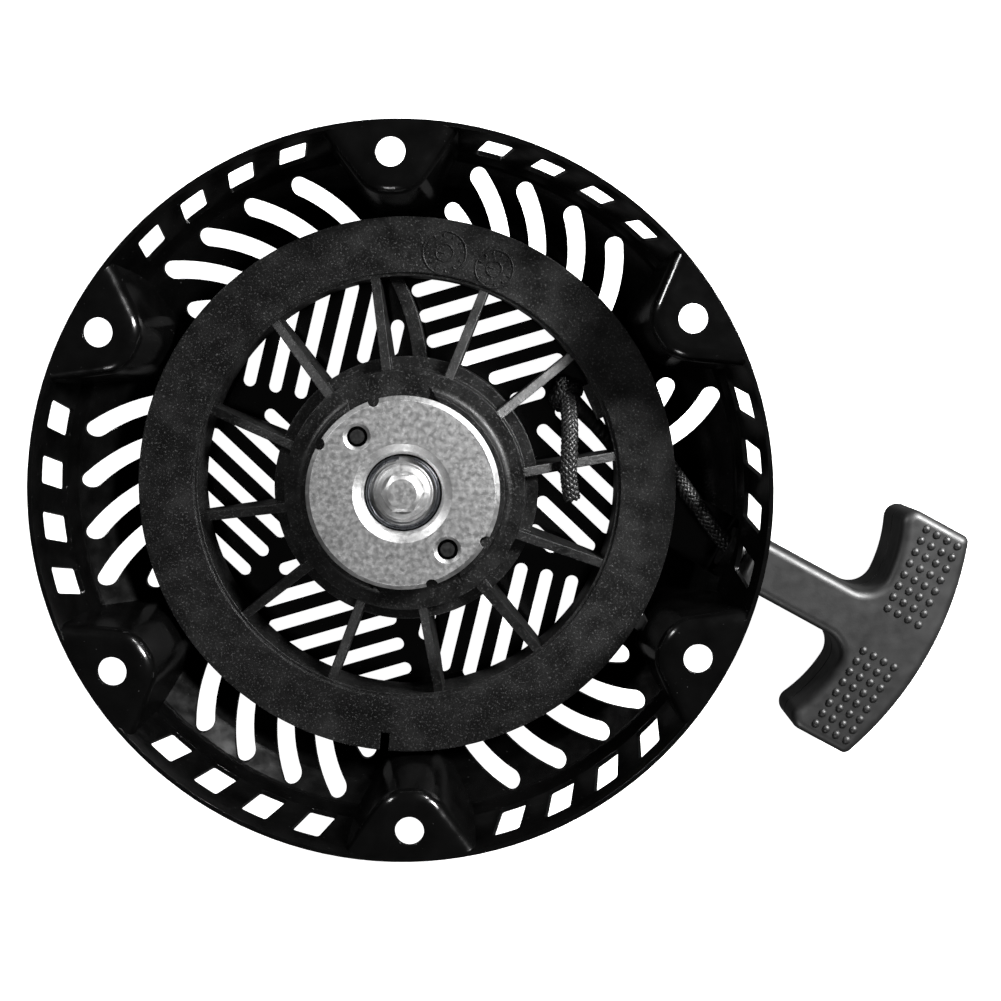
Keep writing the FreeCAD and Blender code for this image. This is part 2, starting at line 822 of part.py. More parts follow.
    hole = rope_along(soft_route(anchor_route(ANCHOR_START + 720)[1:]), size("rope_radius") + 0.5)
    rope_hole = solid_from("rope_hole", hole)
    moulding = body
    moulding.Label = "reel_moulding"
    reel = combined("Cut", "reel_cut", moulding, rope_hole)
    reel.Label = "reel"
    return reel


# ---------------------------------------------------------------- post, bolt and springs
def build_post():
    body = new_body("center_post")
    turned(
        body,
        "post",
        [
            ("0", "-inside_depth - sheet"),
            ("spigot_radius", "-inside_depth - sheet"),
            ("spigot_radius", "-inside_depth"),
            ("post_flange_radius", "-inside_depth"),
            ("post_flange_radius", "-inside_depth + post_flange_thickness"),
            ("post_radius", "-inside_depth + post_flange_thickness"),
            ("post_radius", "-post_top"),
            ("bolt_radius", "-post_top"),
            ("bolt_radius", "-post_top - bolt_depth"),
            ("0", "-post_top - bolt_depth - 2"),
        ],
    )
    slit = new_sketch(body, "hook_slit_plan", "XY_Plane", "-spring_roof - 1")
    outline(
        slit,
        [
            ("post_radius - 2.2", "-spring_strip / 2 - 0.1"),
            ("post_radius + 2", "-spring_strip / 2 - 0.1"),
            ("post_radius + 2", "spring_strip / 2 + 0.1"),
            ("post_radius - 2.2", "spring_strip / 2 + 0.1"),
        ],
    )
    sunk(body, "hook_slit", slit, "spring_width + 2.5")
    return body


def build_washer():
    body = new_body("thrust_washer")
    turned(
        body,
        "washer",
        [
            ("bolt_radius + 0.2", "-post_top"),
            ("washer_radius", "-post_top"),
            ("washer_radius", "-post_top + washer_thickness"),
            ("bolt_radius + 0.2", "-post_top + washer_thickness"),
        ],
    )
    return body


def build_bolt():
    body = new_body("center_bolt")
    seat = "(post_top - washer_thickness)"
    top = f"({seat} - bolt_flange_thickness)"
    turned(
        body,
        "shank",
        [
            ("0", "-post_top - bolt_depth + 2"),
            ("bolt_radius - 0.8", "-post_top - bolt_depth + 2"),
            ("bolt_radius", "-post_top - bolt_depth + 2.8"),
            ("bolt_radius", f"-{seat}"),
            ("bolt_flange_radius", f"-{seat}"),
            ("bolt_flange_radius", f"-{seat} + 0.5"),
            ("bolt_flange_radius - 0.4", f"-{seat} + 0.9"),
            ("bolt_flange_radius - 1.2", f"-{seat} + 0.9"),
            ("bolt_flange_radius - 1.5", f"-{seat} + 1.2"),
            ("bolt_head_radius + 1.2", f"-{top}"),
            ("0", f"-{top}"),
        ],
    )
    head = new_sketch(body, "head_plan", "XY_Plane", f"-{top}")
    points = []
    for k in range(6):
        points.append(
            (
                f"bolt_head_radius / cos(30 deg) * cos({60 * k} deg)",
                f"bolt_head_radius / cos(30 deg) * sin({60 * k} deg)",
            )
        )
    outline(head, points)
    raised(body, "head", head, "bolt_head_height")
    crown = size(f"-{top} + bolt_head_height")
    turned(
        body,
        "crown_chamfer",
        [
            ("bolt_head_radius - 1.0", f"-{top} + bolt_head_height"),
            ("bolt_head_radius + 3", f"-{top} + bolt_head_height"),
            ("bolt_head_radius + 3", f"-{top} + bolt_head_height - 2.2"),
        ],
        "Groove",
    )
    if body.Shape.BoundBox.ZMax < crown - 1e-3:
        raise ValueError("the bolt lost its head")
    return body


def build_friction_spring():
    """Open wire ring that drags on the guide plate, so that the plate lags the reel."""
    body = new_body("friction_spring")
    sketch = new_sketch(body, "wire_section", "XZ_Plane")
    circle(sketch, "bolt_flange_radius + 1.45", "-post_top + washer_thickness + 1.0", "0.7")
    feature = body.newObject("PartDesign::Revolution", "wire_ring")
    feature.Profile = sketch
    feature.ReferenceAxis = (origin(body, "Z_Axis"), [""])
    feature.Angle = 335
    doc.recompute()
    body.Placement = FreeCAD.Placement(V(), FreeCAD.Rotation(UP, 95))
    return body


def build_mainspring():
    """Spiral strip of half circles, on two centres half a pitch apart in turn."""
    strip = size("spring_strip")
    inner = size("post_radius") + 1.6
    outer = size("spring_case_radius - spring_case_wall") - size("rope_clearance") - strip
    halves = 2 * int(size("spring_turns"))
    pitch = (outer - inner) / (halves / 2)
    inside, outside = [], []
    centre = V()
    radius = inner
    for k in range(halves):
        hand = 1 if k % 2 == 0 else -1
        start_angle = 0 if hand == 1 else 180
        for edges, grow in ((inside, 0.0), (outside, strip)):
            reach = radius + grow
            edge = Part.Arc(
                centre + polar(reach, start_angle),
                centre + polar(reach, start_angle + 90),
                centre + polar(reach, start_angle + 180),
            )
            edges.append(edge.toShape())
        centre = centre + V(hand * pitch / 2, 0, 0)
        radius += pitch / 2
    first_in = inside[0].valueAt(inside[0].FirstParameter)
    first_out = outside[0].valueAt(outside[0].FirstParameter)
    last_in = inside[-1].valueAt(inside[-1].LastParameter)
    last_out = outside[-1].valueAt(outside[-1].LastParameter)
    caps = [
        Part.LineSegment(first_in, first_out).toShape(),
        Part.LineSegment(last_in, last_out).toShape(),
    ]
    wire = Part.Wire(Part.__sortEdges__(inside + outside + caps))
    face = Part.Face(wire)
    low = -size("spring_roof") - 2.0 - size("spring_width")
    face.translate(V(0, 0, low))
    coil = face.extrude(V(0, 0, size("spring_width")))
    hook_length = inner - size("post_radius") + 2.0 + strip
    hook = Part.makeBox(
        hook_length,
        strip,
        size("spring_width"),
        V(size("post_radius") - 2.0, -strip / 2, low),
    )
    solid_from("mainspring", coil.fuse(hook).removeSplitter())


# ---------------------------------------------------------------- clutch
def build_guide_plate():
    body = new_body("guide_plate")
    turned(
        body,
        "plate",
        [
            ("plate_well_radius", "-plate_top - 3.2"),
            ("plate_well_radius + 1.2", "-plate_top - 3.2"),
            ("plate_well_radius + 2.0", "-plate_top - plate_sheet - 0.8"),
            ("plate_well_radius + 3.0", "-plate_top - plate_sheet"),
            ("plate_radius - 1.6", "-plate_top - plate_sheet"),
            ("plate_radius - 1.3", "-plate_top - plate_sheet - 0.8"),
            ("plate_radius", "-plate_top - plate_sheet - 0.8"),
            ("plate_radius", "-plate_top - 1.5"),
            ("plate_radius - 1.5", "-plate_top"),
            ("plate_well_radius + 3.4", "-plate_top"),
            ("plate_well_radius + 0.9", "-plate_top - 1.3"),
            ("plate_well_radius", "-plate_top - 2.4"),
        ],
    )
    holes = new_sketch(body, "peg_hole_plan", "XY_Plane", "-plate_top", "plate_angle")
    circle(holes, "plate_hole_reach", "0", "plate_hole_radius")
    circle(holes, "-plate_hole_reach", "0", "plate_hole_radius")
    sunk(body, "peg_holes", holes, "plate_sheet + 1")

    def mouth(edge):
        return ring_at(edge, size("plate_hole_radius"), -size("plate_top"))

    dish = body.newObject("PartDesign::Chamfer", "dished_rims")
    names = [f"Edge{i}" for i, edge in enumerate(body.Shape.Edges, 1) if mouth(edge)]
    dish.Base = (doc.getObject("peg_holes"), names)
    bind(dish, "Size", "plate_sheet - 0.4")
    doc.recompute()
    for turn in (-21, 21, 159, 201):
        name = f"rim_notch_{turn % 360}"
        plan = new_sketch(body, name + "_plan", "XY_Plane", "-plate_top", f"plate_angle + {turn}")
        circle(plan, "plate_radius - 0.3", "0", "1.9")
        sunk(body, name, plan, "plate_sheet + 2")
    bind(body, "Placement.Rotation.Angle", "spoke_angle")
    return body


def build_pawl(label, turn):
    """Pawl on its pin: an arm with a rounded driving tip and a peg for the guide plate."""
    body = new_body(label)
    plan = new_sketch(body, label + "_plan", "XY_Plane", "-pawl_bottom", f"plate_angle + {turn}")
    outline(
        plan,
        [
            ("pawl_pivot_reach - 3.6", "-3.4"),
            ("pawl_pivot_reach - 3.6", "3.6"),
            ("plate_hole_reach + 3.4", "3.6"),
            ("plate_hole_reach + 4.4", "-8", "-30"),
            ("22.4", "-21.6"),
            ("19.6", "-20.2"),
            ("20.4", "-10"),
        ],
    )
    raised(body, label + "_arm", plan, "pawl_thickness")

    def corner(edge):
        return edge.BoundBox.ZLength > size("pawl_thickness") - 0.1 and edge.BoundBox.XLength < 0.1

    rounded(body, label + "_corners", "1.1", corner)
    top = "-pawl_bottom + pawl_thickness"
    bore = new_sketch(body, label + "_bore_plan", "XY_Plane", top, f"plate_angle + {turn}")
    circle(bore, "pawl_pivot_reach", "0", "pawl_pin_radius + pawl_pin_clearance")
    sunk(body, label + "_bore", bore, "pawl_thickness")
    peg = new_sketch(body, label + "_peg_plan", "XY_Plane", top, f"plate_angle + {turn}")
    circle(peg, "plate_hole_reach", "0", "peg_radius")
    raised(body, label + "_peg", peg, "pawl_bottom - pawl_thickness - plate_top - 0.4")
    bind(body, "Placement.Rotation.Angle", "spoke_angle")
    return body


def build_pawl_spring(label, turn):
    """Return spring: two turns of wire round the pawl's pin, below the pawl."""
    wire = 0.35
    reach = size("pawl_pivot_reach")
    angle = size("plate_angle + spoke_angle") + turn
    level = -size("pocket_floor") + 0.1 + wire
    centre = polar(reach, angle, level)
    coil_radius = size("pawl_pin_radius") + 0.2 + wire
    rings = []
    for k in range(2):
        rings.append(Part.makeTorus(coil_radius, wire, centre + V(0, 0, k * 1.9 * wire)))
    solid_from(label, rings[0].fuse(rings[1]).removeSplitter())


# ---------------------------------------------------------------- T-handle
def handle_half(label, hand):
    """One shell of the T-handle. hand is +1 for the shell on the engine's side."""
    body = new_body(label)
    plan = new_sketch(body, label + "_plan", "XY_Plane")
    outline(
        plan,
        [
            ("0", "-handle_half_length", "handle_arc"),
            ("0", "handle_half_length"),
            ("-handle_end_depth", "handle_half_length", "-handle_waist_arc"),
            ("-handle_waist_depth", "handle_stem_half"),
            ("-handle_stem_length", "handle_stem_half"),
            ("-handle_stem_length", "-handle_stem_half"),
            ("-handle_waist_depth", "-handle_stem_half", "-handle_waist_arc"),
            ("-handle_end_depth", "-handle_half_length"),
        ],
    )
    raised(body, label + "_block", plan, "handle_half_thickness", hand < 0)
    waist = size("handle_waist_depth")
    tip = size("handle_stem_length")

    def upright(edge, reach):
        box = edge.BoundBox
        return box.ZLength > 5 and abs(box.XMin - reach) < 0.1 and abs(box.XMax - reach) < 0.1

    rounded(body, label + "_crotch", "8", lambda edge: upright(edge, -waist))
    rounded(body, label + "_outer_corners", "2.5", lambda edge: upright(edge, 0))
    rounded(
        body,
        label + "_inner_corners",
        "4.5",
        lambda edge: upright(edge, -size("handle_end_depth")),
    )
    rounded(body, label + "_tip", "2", lambda edge: upright(edge, -tip))
    face = hand * size("handle_half_thickness")
    rounded(body, label + "_edges", "handle_edge_fillet", lambda edge: at_level(edge, face))
    rounded(body, label + "_seam", "0.5", lambda edge: at_level(edge, 0))

    # channel for the rope and chamber for its knot, sunk from the parting face
    channel = new_sketch(body, label + "_channel_plan", "XY_Plane")
    outline(
        channel,
        [
            ("-handle_stem_length - 1", "-rope_radius - 0.15"),
            ("-handle_waist_depth", "-rope_radius - 0.15"),
            ("-handle_waist_depth", "rope_radius + 0.15"),
            ("-handle_stem_length - 1", "rope_radius + 0.15"),
        ],
    )
    sunk(body, label + "_channel", channel, "rope_radius + 0.15")
    chamber = new_sketch(body, label + "_chamber_plan", "XY_Plane")
    outline(
        chamber,
        [
            ("-handle_waist_depth - 3", "-7.2"),
            ("-4", "-7.2"),
            ("-4", "7.2"),
            ("-handle_waist_depth - 3", "7.2"),
        ],
    )
    sunk(body, label + "_chamber", chamber, "7.2")
    place_on_pull_line(body)
    return body


def place_on_pull_line(piece):
    """Handle pieces are drawn with X along the pull and the parting face on z = 0."""
    turn = FreeCAD.Rotation(UP, -size("pull_angle"))
    piece.Placement = FreeCAD.Placement(along_pull(size("handle_reach")), turn)


def build_handle():
    handle_half("handle_front", 1)
    handle_half("handle_back", -1)
    ahead = V(1, 0, 0)
    seat = -size("handle_waist_depth") - 2.8
    washer = Part.makeCylinder(6.8, 1.6, V(seat, 0, 0), ahead)
    washer = washer.cut(Part.makeCylinder(size("rope_radius") + 0.1, 6, V(seat - 2, 0, 0), ahead))
    place_on_pull_line(solid_from("handle_insert", washer))
    knot_centre = V(seat + 1.6 + size("knot_radius"), 0, 0)
    rope = Part.makeCylinder(
        size("rope_radius"),
        knot_centre.x + size("handle_stem_length"),
        V(-size("handle_stem_length"), 0, 0),
        ahead,
    )
    knot = rope.fuse(Part.makeSphere(size("knot_radius"), knot_centre)).removeSplitter()
    place_on_pull_line(solid_from("handle_rope", knot))


# ---------------------------------------------------------------- build, check, write
build_housing()
build_rope_guide()
build_rope()
build_reel()
build_post()
build_washer()
build_bolt()
build_friction_spring()
build_mainspring()
build_guide_plate()
for name, half_turn in (("a", 0), ("b", 180)):
    build_pawl("pawl_" + name, half_turn)
    build_pawl_spring("pawl_spring_" + name, half_turn)
build_handle()
doc.recompute()

NODES = (
    "housing",
    "rope_guide",
    "rope_wound",
    "rope_run",
    "rope_knot",
    "reel",
    "center_post",
    "thrust_washer",
    "center_bolt",
    "friction_spring",
    "mainspring",
    "guide_plate",
    "pawl_a",
    "pawl_b",
    "pawl_spring_a",
    "pawl_spring_b",
    "handle_front",
    "handle_back",
    "handle_insert",
    "handle_rope",
)
for item in doc.Objects:
    if "Invalid" in item.State or "Error" in item.State:
        raise ValueError(f"{item.Label} failed: {item.State}")
pieces = {}
for node in NODES:
    piece = doc.getObjectsByLabel(node)[0]
    shape = piece.Shape
    if shape.isNull() or not shape.isValid() or not shape.Solids:
        raise ValueError(node + " has no valid solid")
    pieces[node] = shape
for node, shape in pieces.items():
    shape.exportStep(f"parts/{node}.step")
    box = shape.BoundBox
    print(
        f"{node:16s} solids {len(shape.Solids)} volume {shape.Volume:9.0f} "
        f"x {box.XMin:.1f}..{box.XMax:.1f} y {box.YMin:.1f}..{box.YMax:.1f} "
        f"z {box.ZMin:.1f}..{box.ZMax:.1f}"
    )
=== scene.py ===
import json
import math

import bpy
from mathutils import Euler, Matrix, Vector


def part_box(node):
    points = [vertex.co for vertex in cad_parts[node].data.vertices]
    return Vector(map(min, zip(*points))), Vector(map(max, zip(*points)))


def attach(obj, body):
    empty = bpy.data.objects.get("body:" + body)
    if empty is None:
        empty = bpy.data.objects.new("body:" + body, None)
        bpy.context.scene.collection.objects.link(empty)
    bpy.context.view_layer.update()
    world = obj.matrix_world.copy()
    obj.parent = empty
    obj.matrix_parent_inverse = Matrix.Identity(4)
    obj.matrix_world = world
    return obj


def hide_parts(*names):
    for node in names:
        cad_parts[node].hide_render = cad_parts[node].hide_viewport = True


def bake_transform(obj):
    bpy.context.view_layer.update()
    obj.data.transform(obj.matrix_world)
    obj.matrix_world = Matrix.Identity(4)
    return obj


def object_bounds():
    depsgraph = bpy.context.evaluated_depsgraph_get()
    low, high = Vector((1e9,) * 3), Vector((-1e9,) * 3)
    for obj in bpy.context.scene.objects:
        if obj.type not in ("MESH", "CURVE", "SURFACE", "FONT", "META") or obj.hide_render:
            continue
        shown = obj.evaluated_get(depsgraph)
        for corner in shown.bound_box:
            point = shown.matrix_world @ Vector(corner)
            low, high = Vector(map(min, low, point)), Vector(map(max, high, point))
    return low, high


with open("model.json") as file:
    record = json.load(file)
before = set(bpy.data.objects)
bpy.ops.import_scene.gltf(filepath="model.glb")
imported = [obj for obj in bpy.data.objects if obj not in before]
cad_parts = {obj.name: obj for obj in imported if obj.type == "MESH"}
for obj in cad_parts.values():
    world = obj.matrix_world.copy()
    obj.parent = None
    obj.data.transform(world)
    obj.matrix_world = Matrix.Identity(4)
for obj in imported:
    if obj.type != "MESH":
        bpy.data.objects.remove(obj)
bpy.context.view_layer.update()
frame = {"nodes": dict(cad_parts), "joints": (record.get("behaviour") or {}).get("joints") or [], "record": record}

# ------------------------------------------------------------------ places read from the frame
MM = 0.001
JOINTS = {joint["name"]: joint for joint in frame["joints"]}
PULL = Vector(JOINTS["handle_pull"]["axis"]).normalized()
SIDE = Vector((-PULL.y, PULL.x, 0.0))
UP = Vector((0.0, 0.0, 1.0))
ROPE_REACH = next(
    link["ratio"]
    for link in frame["record"]["behaviour"]["couplings"]
    if link["joint"] == "handle_pull"
)
ROPE_RADIUS = 2.5 * MM


def middle(node):
    low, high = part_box(node)
    return (low + high) / 2


ROPE_LEVEL = middle("rope_run").z
PULL_OFFSET = middle("rope_guide").dot(SIDE)
GUIDE_REACH = middle("rope_guide").dot(PULL)
FLANGE_TOP = -30.0 * MM


def polar(radius, degrees, level=0.0):
    turn = math.radians(degrees)
    return Vector((radius * math.cos(turn), radius * math.sin(turn), level))


def on_pull_line(reach, level=ROPE_LEVEL):
    return PULL * reach + SIDE * PULL_OFFSET + UP * level


# ------------------------------------------------------------------ camera
CAMERA_PLACE = (0.0340, 0.0439, 0.4239)
CAMERA_TURN = (-3.68, 0.26, -1.33)
CAMERA_LENS = 49.63
CAMERA_SHIFT_Y = -0.06


def build_camera():
    data = bpy.data.cameras.new("camera")
    data.lens = CAMERA_LENS
    data.sensor_width = 36.0
    data.shift_y = CAMERA_SHIFT_Y
    data.clip_start = 0.01
    camera = bpy.data.objects.new("camera", data)
    camera.location = CAMERA_PLACE
    camera.rotation_euler = Euler([math.radians(a) for a in CAMERA_TURN], "XYZ")
    bpy.context.scene.collection.objects.link(camera)
    bpy.context.scene.camera = camera


# ------------------------------------------------------------------ material helpers
# the Mix node's sockets for colours, which share their names with those for numbers
MIX_FIRST = 6
MIX_SECOND = 7
MIX_RESULT = 2
# a Wave texture repeats every 0.314 units at scale 1
WAVE_PERIOD = 0.314


class Recipe:
    """A node material under construction, with the object's own coordinates in metres."""

    def __init__(self, name, base, roughness, metallic=0.0):
        self.material = bpy.data.materials.new(name)
        self.material.use_nodes = True
        self.tree = self.material.node_tree
        self.shader = self.tree.nodes["Principled BSDF"]
        self.shader.inputs["Base Color"].default_value = (*base, 1.0)
        self.shader.inputs["Roughness"].default_value = roughness
        self.shader.inputs["Metallic"].default_value = metallic
        self.place = self.tree.nodes.new("ShaderNodeTexCoord").outputs["Object"]
        self.height = None

    def soft_edges(self, radius):
        """Edges catch the light as if they were rounded. Called before any bump."""
        node = self.tree.nodes.new("ShaderNodeBevel")
        node.samples = 4
        node.inputs["Radius"].default_value = radius
        self.height = node.outputs["Normal"]

    def link(self, output, target):
        self.tree.links.new(output, target)

    def noise(self, size, detail=3.0, rough=0.5, stretch=None):
        """Noise whose grains are about size metres across."""
        node = self.tree.nodes.new("ShaderNodeTexNoise")
        node.inputs["Scale"].default_value = 1.0 / size
        node.inputs["Detail"].default_value = detail
        node.inputs["Roughness"].default_value = rough
        self.link(self.stretched(stretch), node.inputs["Vector"])
        return node.outputs["Fac"]

    def cells(self, size):
        """The distance to the nearest of cells about size metres apart."""
        node = self.tree.nodes.new("ShaderNodeTexVoronoi")
        node.inputs["Scale"].default_value = 1.0 / size
        self.link(self.place, node.inputs["Vector"])
        return node.outputs["Distance"]

    def bands(self, size, turn, distortion=0.0):
        """Parallel ridges, size metres apart, turned by the Euler angles in degrees."""
        mapping = self.tree.nodes.new("ShaderNodeMapping")
        mapping.inputs["Rotation"].default_value = [math.radians(a) for a in turn]
        self.link(self.place, mapping.inputs["Vector"])
        node = self.tree.nodes.new("ShaderNodeTexWave")
        node.inputs["Scale"].default_value = WAVE_PERIOD / size
        node.inputs["Distortion"].default_value = distortion
        self.link(mapping.outputs["Vector"], node.inputs["Vector"])
        return node.outputs["Fac"]

    def stretched(self, factors):
        if factors is None:
            return self.place
        mapping = self.tree.nodes.new("ShaderNodeMapping")
        mapping.inputs["Scale"].default_value = factors
        self.link(self.place, mapping.inputs["Vector"])
        return mapping.outputs["Vector"]

    def ramp(self, source, stops):
        node = self.tree.nodes.new("ShaderNodeValToRGB")
        band = node.color_ramp
        while len(band.elements) < len(stops):
            band.elements.new(0.5)
        for element, (position, colour) in zip(band.elements, stops):
            element.position = position
            element.color = (*colour, 1.0)
        self.link(source, node.inputs["Fac"])
        return node.outputs["Color"]

    def spread(self, source, low, high, from_low=0.3, from_high=0.7):
        node = self.tree.nodes.new("ShaderNodeMapRange")
        node.inputs["From Min"].default_value = from_low
        node.inputs["From Max"].default_value = from_high
        node.inputs["To Min"].default_value = low
        node.inputs["To Max"].default_value = high
        self.link(source, node.inputs["Value"])
        return node.outputs["Result"]

    def mixed(self, factor, first, second):
        node = self.tree.nodes.new("ShaderNodeMix")
        node.data_type = "RGBA"
        self.link(factor, node.inputs["Factor"])
        self.link(first, node.inputs[MIX_FIRST])
        self.link(second, node.inputs[MIX_SECOND])
        return node.outputs[MIX_RESULT]

    def bump(self, source, depth, strength=1.0):
        """Adds relief, depth metres high, to what the recipe already has."""
        node = self.tree.nodes.new("ShaderNodeBump")
        node.inputs["Distance"].default_value = depth
        node.inputs["Strength"].default_value = strength
        self.link(source, node.inputs["Height"])
        if self.height is not None:
            self.link(self.height, node.inputs["Normal"])
        self.height = node.outputs["Normal"]
        self.link(self.height, self.shader.inputs["Normal"])

    def colour(self, output):
        self.link(output, self.shader.inputs["Base Color"])

    def roughness(self, output):
        self.link(output, self.shader.inputs["Roughness"])


def grey(value):
    return (value, value, value)


# ------------------------------------------------------------------ materials
def black_paint():
    recipe = Recipe("black_paint", grey(0.003), 0.2)
    recipe.soft_edges(0.35 * MM)
    tone = recipe.noise(9 * MM, 4.0)
    paint = recipe.ramp(tone, [(0.3, grey(0.0008)), (0.7, grey(0.0022))])
    dust = recipe.noise(0.9 * MM, 2.0)
    specks = recipe.ramp(dust, [(0.74, grey(0.0)), (0.80, grey(1.0))])
    pale = recipe.ramp(dust, [(0.0, grey(0.03)), (1.0, grey(0.06))])
    recipe.colour(recipe.mixed(specks, paint, pale))
    recipe.roughness(recipe.spread(recipe.noise(5 * MM, 5.0), 0.12, 0.22))
    recipe.bump(recipe.noise(2.2 * MM, 2.0), 0.02 * MM, 0.4)
    recipe.bump(recipe.noise(0.5 * MM, 1.0), 0.004 * MM, 0.3)
    recipe.shader.inputs["Specular IOR Level"].default_value = 0.36
    return recipe.material


def reel_plastic():
    recipe = Recipe("reel_plastic", grey(0.008), 0.5)
    recipe.soft_edges(0.5 * MM)
    cloud = recipe.noise(16 * MM, 5.0, 0.6, (1.0, 1.0, 0.3))
    body = recipe.ramp(cloud, [(0.28, grey(0.0012)), (0.5, grey(0.0036)), (0.75, grey(0.0120))])
    grit = recipe.noise(0.7 * MM, 4.0, 0.75)
    dots = recipe.ramp(grit, [(0.56, grey(0.0)), (0.68, grey(1.0))])
    pale = recipe.ramp(grit, [(0.0, grey(0.006)), (1.0, grey(0.110))])
    recipe.colour(recipe.mixed(dots, body, pale))
    recipe.roughness(recipe.spread(recipe.noise(7 * MM, 6.0, 0.6), 0.27, 0.55))
    recipe.bump(recipe.noise(0.8 * MM, 4.0, 0.6), 0.12 * MM, 0.9)
    recipe.bump(recipe.noise(6 * MM, 2.0), 0.25 * MM, 0.5)
    recipe.shader.inputs["Specular IOR Level"].default_value = 0.42
    return recipe.material


def handle_plastic():
    recipe = Recipe("handle_plastic", grey(0.05), 0.42)
    recipe.soft_edges(0.5 * MM)
    cloud = recipe.noise(11 * MM, 4.0)
    recipe.colour(recipe.ramp(cloud, [(0.3, grey(0.007)), (0.7, grey(0.013))]))
    recipe.roughness(recipe.spread(recipe.noise(4 * MM, 4.0), 0.42, 0.54))
    recipe.bump(recipe.cells(0.45 * MM), 0.02 * MM, 0.5)
    recipe.bump(recipe.noise(2.5 * MM, 3.0), 0.03 * MM, 0.3)
    recipe.shader.inputs["Specular IOR Level"].default_value = 0.85
    return recipe.material


def zinc_plate():
    recipe = Recipe("zinc_plate", grey(0.6), 0.45, 1.0)
    recipe.soft_edges(0.3 * MM)
    blotch = recipe.noise(14 * MM, 8.0, 0.75, (1.0, 1.6, 1.0))
    grain = recipe.noise(0.9 * MM, 6.0, 0.85)
    dull = recipe.ramp(blotch, [(0.25, grey(0.46)), (0.5, grey(0.60)), (0.75, grey(0.68))])
    bright = recipe.ramp(grain, [(0.0, grey(0.5)), (1.0, grey(0.98))])
    spark = recipe.ramp(grain, [(0.50, grey(0.0)), (0.66, grey(0.9))])
    recipe.colour(recipe.mixed(spark, dull, bright))
    recipe.roughness(recipe.spread(recipe.noise(1.6 * MM, 5.0), 0.38, 0.56))
    recipe.bump(recipe.noise(0.7 * MM, 6.0, 0.85), 0.05 * MM, 0.8)
    recipe.bump(recipe.noise(9 * MM, 2.0), 0.10 * MM, 0.3)
    return recipe.material


def turned_steel():
    recipe = Recipe("turned_steel", grey(0.45), 0.3, 1.0)
    tone = recipe.noise(3 * MM, 4.0, 0.6, (1.0, 1.0, 6.0))
    recipe.colour(recipe.ramp(tone, [(0.3, (0.33, 0.33, 0.34)), (0.7, (0.55, 0.55, 0.56))]))
    recipe.roughness(recipe.spread(recipe.noise(1.5 * MM, 3.0), 0.22, 0.4))
    recipe.bump(recipe.noise(0.4 * MM, 2.0, 0.5, (1.0, 1.0, 8.0)), 0.01 * MM, 0.5)
    return recipe.material


def spring_steel():
    recipe = Recipe("spring_steel", grey(0.2), 0.3, 1.0)
    tone = recipe.noise(6 * MM, 4.0)
    recipe.colour(recipe.ramp(tone, [(0.3, (0.13, 0.135, 0.15)), (0.7, (0.25, 0.26, 0.28))]))
    recipe.roughness(recipe.spread(recipe.noise(2 * MM, 3.0), 0.22, 0.38))
    recipe.bump(recipe.noise(0.5 * MM, 2.0), 0.01 * MM, 0.4)
    return recipe.material


def dark_steel():
    recipe = Recipe("dark_steel", grey(0.02), 0.45, 0.3)
    tone = recipe.noise(2 * MM, 5.0)
    recipe.colour(recipe.ramp(tone, [(0.3, grey(0.008)), (0.7, grey(0.022))]))
    recipe.roughness(recipe.spread(recipe.noise(1 * MM, 3.0), 0.36, 0.56))
    recipe.bump(recipe.noise(0.3 * MM, 3.0), 0.02 * MM, 0.5)
    return recipe.material


def guide_plastic():
    recipe = Recipe("guide_plastic", grey(0.008), 0.28)
    tone = recipe.noise(3 * MM, 3.0)
    recipe.colour(recipe.ramp(tone, [(0.3, grey(0.005)), (0.7, grey(0.010))]))
    recipe.roughness(recipe.spread(recipe.noise(2 * MM, 3.0), 0.26, 0.40))
    recipe.bump(recipe.noise(0.6 * MM, 2.0), 0.01 * MM, 0.4)
    return recipe.material


def rope_strands():
    """For the braid that is real geometry: only fibres, sheen and painted glints are left to the shader."""
    recipe = Recipe("rope_strands", grey(0.008), 0.4)
    tone = recipe.noise(0.5 * MM, 4.0, 0.7)
    # the pale top stop of this ramp is painted glints: bright flecks in the colour that stand in for light caught
    # on the strands
    recipe.colour(recipe.ramp(tone, [(0.35, grey(0.0015)), (0.58, grey(0.006)), (0.70, grey(0.16))]))
    recipe.roughness(recipe.spread(recipe.noise(0.4 * MM, 3.0), 0.28, 0.5))
    recipe.bump(recipe.noise(0.16 * MM, 2.0, 0.6), 0.02 * MM, 0.7)
    return recipe.material


def rope_braid(name, directions):
    """For rope that stretches or hides: crossing ridges from the object's own coordinates."""
    recipe = Recipe(name, grey(0.008), 0.5)
    tone = recipe.noise(0.6 * MM, 4.0, 0.7)
    # the pale top stop of this ramp is painted glints: bright flecks in the colour that stand in for light caught
    # on the braid
    recipe.colour(recipe.ramp(tone, [(0.35, grey(0.004)), (0.65, grey(0.014)), (0.8, grey(0.08))]))
    recipe.roughness(recipe.spread(recipe.noise(0.5 * MM, 3.0), 0.4, 0.6))
    for turn in directions:
        recipe.bump(recipe.bands(1.6 * MM, turn, 0.4), 0.25 * MM, 0.8)
    return recipe.material


MATERIALS = {
    "black_paint": black_paint(),
    "reel_plastic": reel_plastic(),
    "handle_plastic": handle_plastic(),
    "zinc": zinc_plate(),
    "post_steel": turned_steel(),
    "spring_steel": spring_steel(),
    "dark_steel": dark_steel(),
    "guide_plastic": guide_plastic(),
    "rope": rope_strands(),
}
PULL_TURN = math.degrees(math.atan2(PULL.y, PULL.x))
LEAD_ROPE = rope_braid("rope_lead_braid", ((0, 0, 45 - PULL_TURN), (0, 0, -45 - PULL_TURN)))
WOUND_ROPE = rope_braid("rope_wound_braid", ((0, 45, 20), (0, -45, 20)))
HIDDEN_ROPE = ("rope_wound", "handle_rope")


